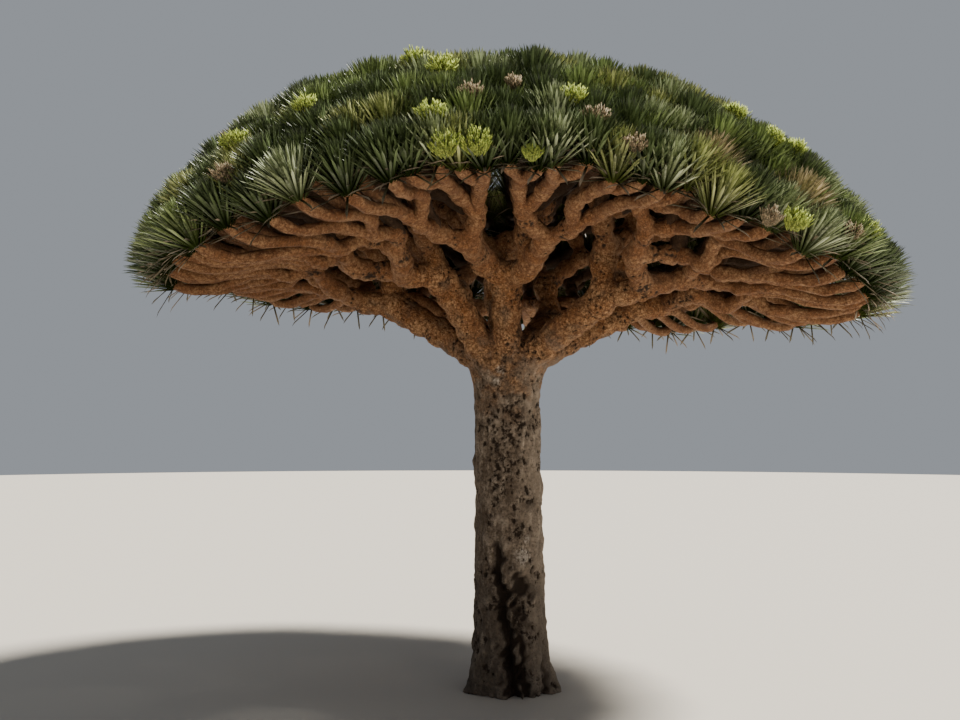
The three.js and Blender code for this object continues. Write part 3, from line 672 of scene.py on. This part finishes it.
def main_bark():
    """Grey, stringy bark of the trunk, which turns into that of the boughs above the fork."""
    material, tree, surface = new_material("trunk bark")
    place = object_place(tree)
    pattern = node(tree, "Group", {"Position": place}, node_tree=BARK_PATTERN).outputs
    upright = node(tree, "Mapping", {"Vector": place, "Scale": (1, 1, 0.2)}).outputs[0]
    streaks = noise_texture(tree, upright, 30, 5, 0.7)
    grey = mix(tree, pattern["Mottle"], TRUNK_DARK, TRUNK_MID)
    crest = spread(tree, times(tree, attribute(tree, "fibre"), streaks[0]), 0.22, 0.5)
    grey = mix(tree, times(tree, crest, pattern["Mottle"]), grey, TRUNK_PALE)
    # Painted highlight: the raised folds are made paler.
    fold_highlight = times(tree, spread(tree, attribute(tree, "fold"), 0.55, 0.9), 0.5)
    grey = mix(tree, fold_highlight, grey, TRUNK_PALE)
    tall = node(tree, "Mapping", {"Vector": place, "Scale": (1, 1, 0.4)}).outputs[0]
    stains = noise_texture(tree, tall, 10, 5, 0.68)
    grey = mix(tree, times(tree, spread(tree, stains[0], 0.48, 0.64), 0.7), grey, TRUNK_STAIN)
    apart = node(tree, "SeparateXYZ", {0: place}).outputs
    # Painted light: the trunk is made paler towards its right side, where the light falls.
    painted_right_light = times(tree, spread(tree, apart["X"], 0, 0.36), 0.4)
    grey = mix(tree, painted_right_light, grey, TRUNK_PALE)
    drift = times(tree, pattern["Patches"], 0.5, apart["Z"])
    colour = mix(tree, spread(tree, drift, 3.1, 4.0), grey, limb_colour(tree, pattern))
    for spot, size in LICHEN_SPOTS:
        away = node(tree, "VectorMath", {0: place, 1: spot}, operation="DISTANCE").outputs["Value"]
        ragged = times(tree, pattern["Height"], -1.2 * size, away)
        lichen = times(tree, spread(tree, ragged, size * 0.8, -size * 0.2), pattern["Mottle"])
        colour = mix(tree, lichen, colour, LICHEN)
    # Painted shade: the low folds are made darker.
    shade = times(tree, spread(tree, attribute(tree, "fold"), 0.5, 0.1), 0.6)
    colour = mix(tree, shade, colour, TRUNK_DARK)
    colour = mix(tree, times(tree, pattern["Pores"], 0.45), colour, PIT_BLACK)
    foot = times(tree, spread(tree, drift, 2.2, 0.6), 0.55)
    colour = mix(tree, foot, colour, TRUNK_FOOT)
    # Painted shade: the clefts, hollows and pits are darkened nearly to black.
    colour = mix(tree, spread(tree, attribute(tree, "sunk"), 0.1, 0.9), colour, PIT_BLACK)
    pitted = times(tree, pattern["Mottle"], -0.5, attribute(tree, "pit"))
    colour = mix(tree, spread(tree, pitted, -0.1, 0.5), colour, PIT_BLACK)
    set_inputs(tree, surface, {"Base Color": colour, "Normal": bump(tree, pattern["Height"], *BARK_BUMP)})
    set_inputs(tree, surface, {"Roughness": BARK_ROUGHNESS, "Specular IOR Level": BARK_SHEEN})
    return material


def parted(mesh, name, away):
    """The skin on one side of the parting, closed by a flat face inside the wood."""
    form = bmesh.new()
    form.from_mesh(mesh)
    everything = form.verts[:] + form.edges[:] + form.faces[:]
    plane = {"plane_co": (0, 0, PARTING_HEIGHT), "plane_no": away, "dist": SAME_PLACE}
    cut = bmesh.ops.bisect_plane(form, geom=everything, clear_outer=True, **plane)
    rim = [thing for thing in cut["geom_cut"] if isinstance(thing, bmesh.types.BMEdge)]
    for edge in rim:
        edge.smooth = False
    bmesh.ops.holes_fill(form, edges=rim)
    part = bpy.data.meshes.new(name)
    form.to_mesh(part)
    form.free()
    return part


main_parts = [trunk_arrays(), tubes_along(limbs[0] + limbs[1], BOUGH_SIDES, BOUGH_STATIONS, bough_radius)]
main_mesh = fused("skin", main_parts, BARK_CELL)
main_forks = [limb["start"][0] for limb in limbs[0]] + [limb["end"][0] for limb in limbs[0]]
sink_bark(main_mesh, main_forks, TRUNK_PITS, BOUGH_PITS, BARK_SEED)
MAIN_BARK = main_bark()
trunk_skin = put_in_scene("trunk_skin", parted(main_mesh, "trunk_skin", (0, 0, 1)), MAIN_BARK)
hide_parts("trunk")
bough_skin = put_in_scene("bough_skin", parted(main_mesh, "bough_skin", (0, 0, -1)), MAIN_BARK)
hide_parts(*[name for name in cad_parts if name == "trunk" or name.startswith("bough")])


# The stems: the next two rounds of limbs, as thick as a thigh and then as an arm. They run side by side under
# the leaves like a corrugated ceiling. Their bark is warm and smoother than the trunk's.
STEM_SIDES, STEM_STATIONS, STEM_CELL = 16, 30, 0.0198
STEM_PITS, STEM_CROTCH_REACH = 3600, 0.12
LIMB_ROUGHNESS, LIMB_SHEEN, LIMB_BUMP, LIMB_SHADE = 0.85, 0.3, (0.8, 0.01), 0.33
foliage_nodes = [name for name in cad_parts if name.startswith("foliage")]


def limb_bark():
    """The boughs' bark, darkened with painted shade of the leaves, and with more painted shade inside the
    crown.
    """
    material, tree, surface = new_material("limb bark")
    pattern = node(tree, "Group", {"Position": object_place(tree)}, node_tree=BARK_PATTERN).outputs
    colour = limb_colour(tree, pattern)
    colour = mix(tree, times(tree, pattern["Pores"], 0.5), colour, LIMB_DEEP)
    # Painted shade: all the limb bark is darkened as under the leaves, and more inside the crown and in pits.
    colour = mix(tree, LIMB_SHADE, colour, LIMB_DEEP)
    colour = mix(tree, attribute(tree, "inside"), colour, PIT_BLACK)
    colour = mix(tree, spread(tree, attribute(tree, "pit"), 0.1, 0.6), colour, PIT_BLACK)
    set_inputs(tree, surface, {"Base Color": colour, "Normal": bump(tree, pattern["Height"], *LIMB_BUMP)})
    set_inputs(tree, surface, {"Roughness": LIMB_ROUGHNESS, "Specular IOR Level": LIMB_SHEEN})
    return material


LIMB_BARK = limb_bark()
stem_tubes = tubes_along(limbs[2] + limbs[3], STEM_SIDES, STEM_STATIONS, bough_radius)
stem_mesh = fused("stems", [stem_tubes], STEM_CELL)
sink_bark(stem_mesh, [limb["end"][0] for limb in limbs[2]], 0, STEM_PITS, BARK_SEED + 2, STEM_CROTCH_REACH)
stems = put_in_scene("stems", stem_mesh, LIMB_BARK)
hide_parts(*foliage_nodes)


# The twigs: the last three rounds, stubby and about 0.12 m thick, each knuckled and swollen at its start.
# They are too many to fuse, so each is sunk into the one that carries it. Those short of the rim get painted
# shade.
TWIG_SIDES, TWIG_STATIONS = 8, 10
KNOB_SIZE, KNOB_SCALE, KNOB_OFFSETS = 0.02, 16.0, (0.0, 40.0, 80.0)
INSIDE_PAINTED_SHADE, INSIDE_FADING = 0.85, 0.1

twig_limbs = limbs[4] + limbs[5] + limbs[6]
twig_points, twig_triangles = tubes_along(twig_limbs, TWIG_SIDES, TWIG_STATIONS, bough_radius)
knobs = np.stack([noise_at(twig_points, KNOB_SCALE, offset) for offset in KNOB_OFFSETS], axis=1)
twig_points += KNOB_SIZE * knobs
twig_mesh = triangle_mesh("twigs", twig_points, twig_triangles)
shares = np.repeat([limb["patch"]["to_share"] for limb in twig_limbs], len(twig_points) // len(twig_limbs))
# Painted shade on the twigs whose patches end short of the rim.
add_attribute(twig_mesh, "inside", INSIDE_PAINTED_SHADE * np.clip((RIM_SHARE - shares) / INSIDE_FADING, 0, 1))
twigs = put_in_scene("twigs", twig_mesh, LIMB_BARK)
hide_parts(*foliage_nodes)


# The leaves: stiff sword leaves 0.4 m long in one dense rosette on each last twig, young ones upright and old
# ones spread, channelled above and keeled below. Each rosette has one tint, and its oldest leaves are dry.
LEAF_LENGTH, LEAF_WIDTH = 0.405, 0.024
LEAF_PLACES = np.array((0, 0.82, 1.0))
LEAF_WIDTHS = np.array((0.85, 0.95, 0))
LEAF_CHANNEL = 0.28
LEAVES_PER_ROSETTE, OLD_LEAVES, RIM_OLD_LEAVES = 150, 9, 14
YOUNGEST_LEAN, WIDEST_LEAN = 0.04, math.radians(52)
OLD_LEAN, RIM_OLD_LEAN = math.radians(84), math.radians(24)
LEAN_GATHERING, LEAN_STRAY = 0.85, 0.035
DROOP, OLD_DROOP, YOUNG_DROOP = 0.08, 0.25, 0.1
BEND_BACK, BEND_DOWN = 0.3, 0.7
GOLDEN_TURN = math.pi * (3 - math.sqrt(5))
UPTURN, FRONT_UPTURN, LEAF_LIFT, ROSETTE_TILT = 0.1, 0.5, 0.22, 0.1
FOOT_OUTWARDS, FOOT_UPWARDS = (0.015, 0.065), (0.05, -0.06)
LENGTHS, YOUNG_SHORTENING, OLD_LENGTH = (0.93, 1.04), 0.16, 0.75
RIM_LENGTHENING, LENGTH_STRAY = 0.07, 0.05
# Tints dealt by place paint light and shade: paler at the top, deeper towards the rim and deepest on the left.
TOP_DEAL, RIM_DEAL, SIDE_DEAL, LEFT_PAINTED_SHADE = 0.35, 1.1, 1.5, 2  # the more, the deeper the tints dealt there
LEAF_TINTS = {  # base colour, and its share in a hundred
    "leaves_deep_green": ((0.04, 0.059, 0.016, 1), 24),
    "leaves_green": ((0.09, 0.124, 0.032, 1), 26),
    "leaves_olive": ((0.142, 0.165, 0.046, 1), 23),
    "leaves_grey_green": ((0.145, 0.178, 0.074, 1), 25),
    "leaves_straw": ((0.2, 0.18, 0.078, 1), 2),
}
OLD_LEAF_TINT = (0.085, 0.072, 0.033, 1)
# Factors for a leaf's painted shade and painted highlight.
LEAF_PAINTED_SHADE, LEAF_PAINTED_HIGHLIGHT = (0.22, 0.24, 0.2), (3, 2.75, 4.2)
WAX, LEAF_ROUGHNESS, OLD_LEAF_ROUGHNESS, LEAF_BUMP = 0.55, 0.4, 0.7, (0.3, 0.002)


def leaf_form():
    """One leaf folded along its keel: each point's place along it and its side, and the triangles."""
    rows = len(LEAF_PLACES) - 1
    place = np.append(np.repeat(LEAF_PLACES[:-1], 3), LEAF_PLACES[-1])
    side = np.array([-1, 0, 1] * rows + [0])
    triangles = []
    for left in [3 * row + half for row in range(rows - 1) for half in (0, 1)]:
        triangles += [(left, left + 1, left + 4), (left, left + 4, left + 3)]
    last, tip = 3 * rows - 3, 3 * rows
    triangles += [(last, last + 1, tip), (last + 1, last + 2, tip)]
    return place, side, np.array(triangles)


def rosette_leaves(base, axis, count, lean_from, lean_to, length, droop, random):
    """Each leaf of a rosette: its start, the way it points, where its channel faces, its length and bend."""
    order = (np.arange(count) + 0.5) / count
    lean = lerp(lean_from, lean_to, order**LEAN_GATHERING) + random.normal(0, LEAN_STRAY, count)
    spin = np.arange(count) * GOLDEN_TURN + random.uniform(0, 6.28)
    side = np.array((-axis[1], axis[0], 0.0))
    side = unit(side if np.linalg.norm(side) >= 0.1 else np.array((0, 1.0, 0)))
    outward = turned(side, np.cross(axis, side), spin)
    ways = turned(axis, outward, lean)
    ways[:, 2] += LEAF_LIFT * order
    ways = unit(ways)
    starts = base + outward * lerp(*FOOT_OUTWARDS, order)[:, None]
    starts = starts + axis * lerp(*FOOT_UPWARDS, order)[:, None]
    lengths = length * (1 - YOUNG_SHORTENING * (1 - order) ** 2) * random.uniform(*LENGTHS, count)
    back = unit(np.cross(np.cross(ways, axis), ways))
    bend = -back * BEND_BACK + np.array((0, 0, -BEND_DOWN))
    bend -= np.sum(bend * ways, axis=1)[:, None] * ways
    return starts, ways, back, lengths, bend * (droop * (YOUNG_DROOP + order**2) * lengths)[:, None]


LEAF_FORM = leaf_form()


def repeated(triangles, count, step):
    """The triangles of many copies of a form of this many points."""
    return (triangles[None] + (np.arange(count) * step)[:, None, None]).reshape(-1, 3)


def leaf_arrays(rosettes):
    """All leaves of several rosettes as joined arrays."""
    place, side, triangles = LEAF_FORM
    starts, ways, back, lengths, bends = (np.concatenate(group) for group in zip(*rosettes))
    count = len(starts)
    across = np.cross(ways, back)
    widths = np.interp(place, LEAF_PLACES, LEAF_WIDTHS) * LEAF_WIDTH / 2
    t = place[None, :, None]
    points = starts[:, None] + ways[:, None] * lengths[:, None, None] * t + bends[:, None] * t**2
    points = points + across[:, None] * (side * widths)[None, :, None]
    points = points + back[:, None] * (np.abs(side) * widths * LEAF_CHANNEL * 2)[None, :, None]
    return points.reshape(-1, 3), repeated(triangles, count, len(place))


def along_leaves(mesh, seed):
    """Attributes for the leaf's colour: how far along its leaf each point is, and each leaf's own number."""
    place = LEAF_FORM[0]
    count = len(mesh.vertices) // len(place)
    own = np.random.default_rng(seed).uniform(0, 1, count)
    add_attribute(mesh, "along", np.tile(place, count))
    add_attribute(mesh, "leaf", np.repeat(own, len(place)))


def shaded(tint, factors):
    return (*(value * factor for value, factor in zip(tint, factors)), 1)


def leaf_material(name, tint, roughness):
    """Waxy leaf: its own tint, with painted shade or a painted highlight from leaf to leaf and in flecks, and
    dull and darkened with painted shade towards its sheath.
    """
    material, tree, surface = new_material(name)
    flecks = noise_texture(tree, object_place(tree), 40, 3)[0]
    dark, light = shaded(tint, LEAF_PAINTED_SHADE), shaded(tint, LEAF_PAINTED_HIGHLIGHT)
    own, along = attribute(tree, "leaf"), attribute(tree, "along")
    # Painted shade and painted highlights: each leaf and fleck is made darker or paler.
    colour = mix(tree, spread(tree, own, -0.1, 0.64), dark, tint)
    colour = mix(tree, spread(tree, own, 0.6, 0.92), colour, light)
    colour = mix(tree, times(tree, spread(tree, flecks, 0.4, 0.75), 0.5), colour, light)
    # Painted shade towards the sheath.
    colour = mix(tree, spread(tree, along, 0.8, 0.1), colour, dark)
    wax = times(tree, spread(tree, along, 0.15, 0.9), WAX)
    set_inputs(tree, surface, {"Base Color": colour, "Normal": bump(tree, flecks, *LEAF_BUMP)})
    set_inputs(tree, surface, {"Roughness": roughness, "Specular IOR Level": wax})
    return material


tint_names = list(LEAF_TINTS)
tint_edges = np.cumsum([share for _, share in LEAF_TINTS.values()]) / 100
sprays = {name: [] for name in tint_names}
old_sprays = []
for limb in limbs[LAST_LEVEL]:
    base, way = limb["end"]
    turn, share = middle(limb["patch"])
    random = np.random.default_rng(limb["number"])
    upturn = lerp(UPTURN, FRONT_UPTURN, max(0, -math.sin(turn)) ** 2) * share
    tilt = ROSETTE_TILT * wobbles(limb["number"], FOR_TILT)
    axis = np.array((way + Vector((0, 0, upturn)) + tilt).normalized())
    # Painted light and shade: paler tints are dealt at the top, deeper ones at the rim and on the left.
    depth = TOP_DEAL + share**2 * max(RIM_DEAL, SIDE_DEAL - LEFT_PAINTED_SHADE * math.cos(turn))
    dealt = chance(limb["number"], FOR_TINT) ** depth
    pick = min(int(np.searchsorted(tint_edges, dealt)), len(tint_names) - 1)
    stray = LENGTH_STRAY * wobble(limb["number"], FOR_LENGTH)
    length = LEAF_LENGTH * (1 + stray + RIM_LENGTHENING * share**4)
    foot = (np.array(base), axis)
    young = rosette_leaves(*foot, LEAVES_PER_ROSETTE, YOUNGEST_LEAN, WIDEST_LEAN, length, DROOP, random)
    sprays[tint_names[pick]].append(young)
    old_count, old_lean = OLD_LEAVES + round(RIM_OLD_LEAVES * share**8), OLD_LEAN + RIM_OLD_LEAN * share**8
    old = rosette_leaves(*foot, old_count, WIDEST_LEAN, old_lean, OLD_LENGTH * length, OLD_DROOP, random)
    old_sprays.append(old)
for name, rosettes in {**sprays, "leaves_old": old_sprays}.items():
    tint = LEAF_TINTS[name][0] if name in LEAF_TINTS else OLD_LEAF_TINT
    roughness = LEAF_ROUGHNESS if name in LEAF_TINTS else OLD_LEAF_ROUGHNESS
    material = leaf_material(name.replace("_", " "), tint, roughness)
    leaf_mesh = triangle_mesh(name, *leaf_arrays(rosettes), smooth=False)
    along_leaves(leaf_mesh, len(rosettes))
    leaves = put_in_scene(name, leaf_mesh, material)
    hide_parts(*foliage_nodes)


# The flowers: a few feathery upright heads, whose tops stand just clear of the leaves. Each is a bunch of
# thin sprigs set with small buds. Fresh ones are yellow-green, and spent ones have dried brown.
FRESH_HEADS = [  # turn in degrees, share, how far the head hangs below the leaf tips, and its length
    (-100, 0.71, 0, 0.22), (-108, 0.59, 0, 0.2), (-100, 0.92, 0.03, 0.2), (-98, 0.97, 0.16, 0.22),
    (-94, 0.97, 0.17, 0.22), (-80, 0.86, 0.03, 0.16), (-87, 0.96, 0.3, 0.12), (-49, 0.78, 0, 0.16),
    (-46, 0.84, 0, 0.16), (-40, 0.84, 0, 0.16), (-52, 0.96, 0.28, 0.2), (-38, 0.97, 0, 0.18),
    (-122, 0.81, 0, 0.17), (-133, 0.87, 0, 0.2), (35, 0.6, 0, 0.2), (100, 0.45, 0, 0.22),
]
DRY_HEADS = [
    (-95, 0.85, 0.03, 0.17), (-88, 0.78, 0.08, 0.1), (-78, 0.92, 0.05, 0.18), (-74, 0.97, 0.1, 0.15),
    (-56, 0.96, 0.35, 0.17), (-43, 0.98, 0.05, 0.15), (-130, 0.94, 0.05, 0.17), (150, 0.75, 0, 0.2),
]
FRESH_SPRIGS, FRESH_BUDS = 110, 12
DRY_SPRIGS, DRY_BUDS = 70, 9
HEAD_UPTURN, HEAD_FOOT = 0.4, 0.75
SPRIG_LEAN, SPRIG_LENGTHS, LEAN_SHORTENING = 0.8, (0.85, 1.15), 0.15
BUD_SIZE, BUD_LENGTH, BUD_SPREAD = 0.0062, 3.2, 0.006
BUD_PLACES, BUD_SIZES, FLOWER_ROUGHNESS = (0.35, 1), (0.7, 1.4), 0.8
FRESH_FLOWERS, DRY_FLOWERS, DARK_FLOWER = (0.37, 0.42, 0.07, 1), (0.27, 0.19, 0.11, 1), (0.45, 0.55, 0.5)


def bud_form():
    form = bmesh.new()
    bmesh.ops.create_uvsphere(form, u_segments=3, v_segments=2, radius=1)
    return arrays_of(form)


BUD_FORM = bud_form()


def flower_head(degrees, share, hang, length, sprigs, buds, random):
    """One head as arrays: buds along each of its sprigs, which fan out from a foot among the leaves."""
    turn = math.radians(degrees)
    way = unit(np.array(leaf_way(turn, share) + Vector((0, 0, HEAD_UPTURN * share))))
    foot = np.array(leaf_dome(turn, share) - Vector((0, 0, hang))) - HEAD_FOOT * length * way
    spin = random.uniform(0, 2 * math.pi, sprigs)
    lean = SPRIG_LEAN * np.sqrt(random.uniform(0, 1, sprigs))
    side = unit(np.cross(way, (0, 1.0, 0.1)))
    ways = turned(way, turned(side, np.cross(way, side), spin), lean)
    reach = length * random.uniform(*SPRIG_LENGTHS, sprigs) * (1 - LEAN_SHORTENING * lean)
    along = random.uniform(*BUD_PLACES, (sprigs, buds))
    centres = foot + ways[:, None] * (reach[:, None] * along)[:, :, None]
    centres += random.normal(0, BUD_SPREAD, centres.shape)
    centres = centres.reshape(-1, 3)
    lie = np.repeat(ways, buds, axis=0)
    sizes = BUD_SIZE * random.uniform(*BUD_SIZES, len(centres))
    points, triangles = BUD_FORM
    drawn = lie[:, None] * (points[:, 2] * BUD_LENGTH)[None, :, None]
    shaped = (points[None] + drawn) * sizes[:, None, None]
    return (centres[:, None] + shaped).reshape(-1, 3), repeated(triangles, len(centres), len(points))


def flower_material(name, tint):
    material, tree, surface = new_material(name)
    grain = noise_texture(tree, object_place(tree), 70, 2)[0]
    colour = mix(tree, spread(tree, grain, 0.35, 0.65), shaded(tint, DARK_FLOWER), tint)
    set_inputs(tree, surface, {"Base Color": colour, "Roughness": FLOWER_ROUGHNESS})
    return material


for name, heads, sprigs, buds, tint in (
    ("flowers_fresh", FRESH_HEADS, FRESH_SPRIGS, FRESH_BUDS, FRESH_FLOWERS),
    ("flowers_dry", DRY_HEADS, DRY_SPRIGS, DRY_BUDS, DRY_FLOWERS),
):
    random = np.random.default_rng(len(heads))
    parts = [flower_head(*head, sprigs, buds, random) for head in heads]
    flower_mesh = triangle_mesh(name, *joined(parts))
    flowers = put_in_scene(name, flower_mesh, flower_material(name.replace("_", " "), tint))
    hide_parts(*foliage_nodes)


# The studio: a plain pale floor, a soft light high at the right as in the photograph, a pale sky all round,
# and the photograph's own viewing place. The camera looks up a little, and slightly left of the trunk.
CAMERA_DISTANCE, CAMERA_HEIGHT = 11.33, 2.725
CAMERA_PITCH, CAMERA_YAW = math.radians(3.807), math.radians(1.633)
SENSOR_WIDTH, LENS = 36, 39.45
FLOOR_RADIUS, FLOOR_COLOUR, FLOOR_ROUGHNESS = 60, (0.38, 0.355, 0.315, 1), 0.9
SKY_COLOUR, SKY_STRENGTH = (0.78, 0.84, 0.92, 1), 0.38

floor_form = bmesh.new()
bmesh.ops.create_circle(floor_form, cap_ends=True, segments=96, radius=FLOOR_RADIUS)
floor_mesh = bpy.data.meshes.new("floor")
floor_form.to_mesh(floor_mesh)
floor_form.free()
floor_material, floor_tree, floor_surface = new_material("floor")
set_inputs(floor_tree, floor_surface, {"Base Color": FLOOR_COLOUR, "Roughness": FLOOR_ROUGHNESS})
floor_mesh.materials.append(floor_material)
floor = add_object("floor", floor_mesh)

world = bpy.data.worlds.new("studio")
world.use_nodes = True
sky = world.node_tree.nodes["Background"]
set_inputs(world.node_tree, sky, {"Color": SKY_COLOUR, "Strength": SKY_STRENGTH})
bpy.context.scene.world = world


def soft_sun(name, towards, width, strength, colour):
    """A far lamp that stands this way from the tree, and is this many degrees wide."""
    lamp = bpy.data.lights.new(name, "SUN")
    lamp.angle = math.radians(width)
    lamp.energy = strength
    lamp.color = colour
    holder = add_object(name, lamp)
    holder.rotation_euler = Vector(towards).to_track_quat("Z", "Y").to_euler()


soft_sun("key", (0.54, 0.1, 0.83), width=12, strength=14.5, colour=(1, 0.95, 0.86))
soft_sun("front fill", (0.6, -1, 0.15), width=60, strength=0.5, colour=(1, 0.92, 0.82))

camera_data = bpy.data.cameras.new("camera")
camera_data.sensor_width = SENSOR_WIDTH
camera_data.lens = LENS
camera = add_object("camera", camera_data)
camera.location = (0, -CAMERA_DISTANCE, CAMERA_HEIGHT)
level = math.cos(CAMERA_PITCH)
forward = Vector((-math.sin(CAMERA_YAW) * level, math.cos(CAMERA_YAW) * level, math.sin(CAMERA_PITCH)))
camera.rotation_euler = forward.to_track_quat("-Z", "Y").to_euler()
bpy.context.scene.camera = camera
bpy.context.view_layer.update()
